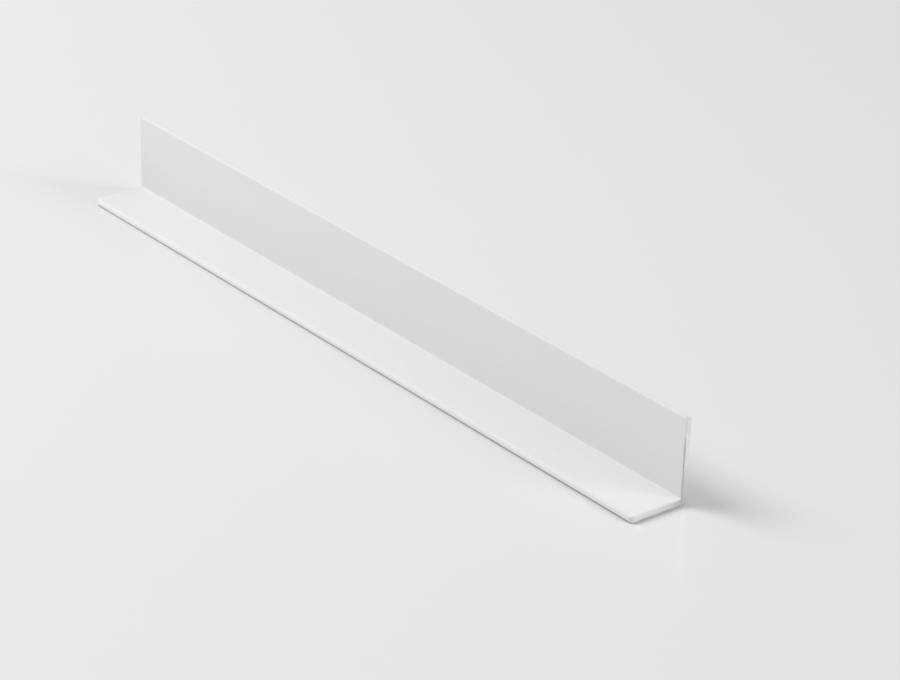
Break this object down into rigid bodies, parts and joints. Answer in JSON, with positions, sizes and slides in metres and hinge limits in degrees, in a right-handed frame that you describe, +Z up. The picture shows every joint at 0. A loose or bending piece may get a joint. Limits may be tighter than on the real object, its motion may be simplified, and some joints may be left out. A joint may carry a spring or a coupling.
{
  "type": "aluminium angle trim profile",
  "caption": "Straight extruded aluminium angle with unequal legs, a rolled nose on the flat leg and a white powder coat, used to trim and protect edges and corners.",
  "frame": {"origin": "bottom centre of the profile's box, on the underside of the flat leg", "axes": "+X along the length, +Y from the flat leg's tip towards the upright leg, +Z up along the upright leg"},
  "size_m": [0.2, 0.015, 0.02],
  "materials": {
    "white_coat": "satin white powder coat over extruded aluminium"
  },
  "bodies": {
    "root": {"angle_profile": "white_coat"}
  },
  "joints": []
}
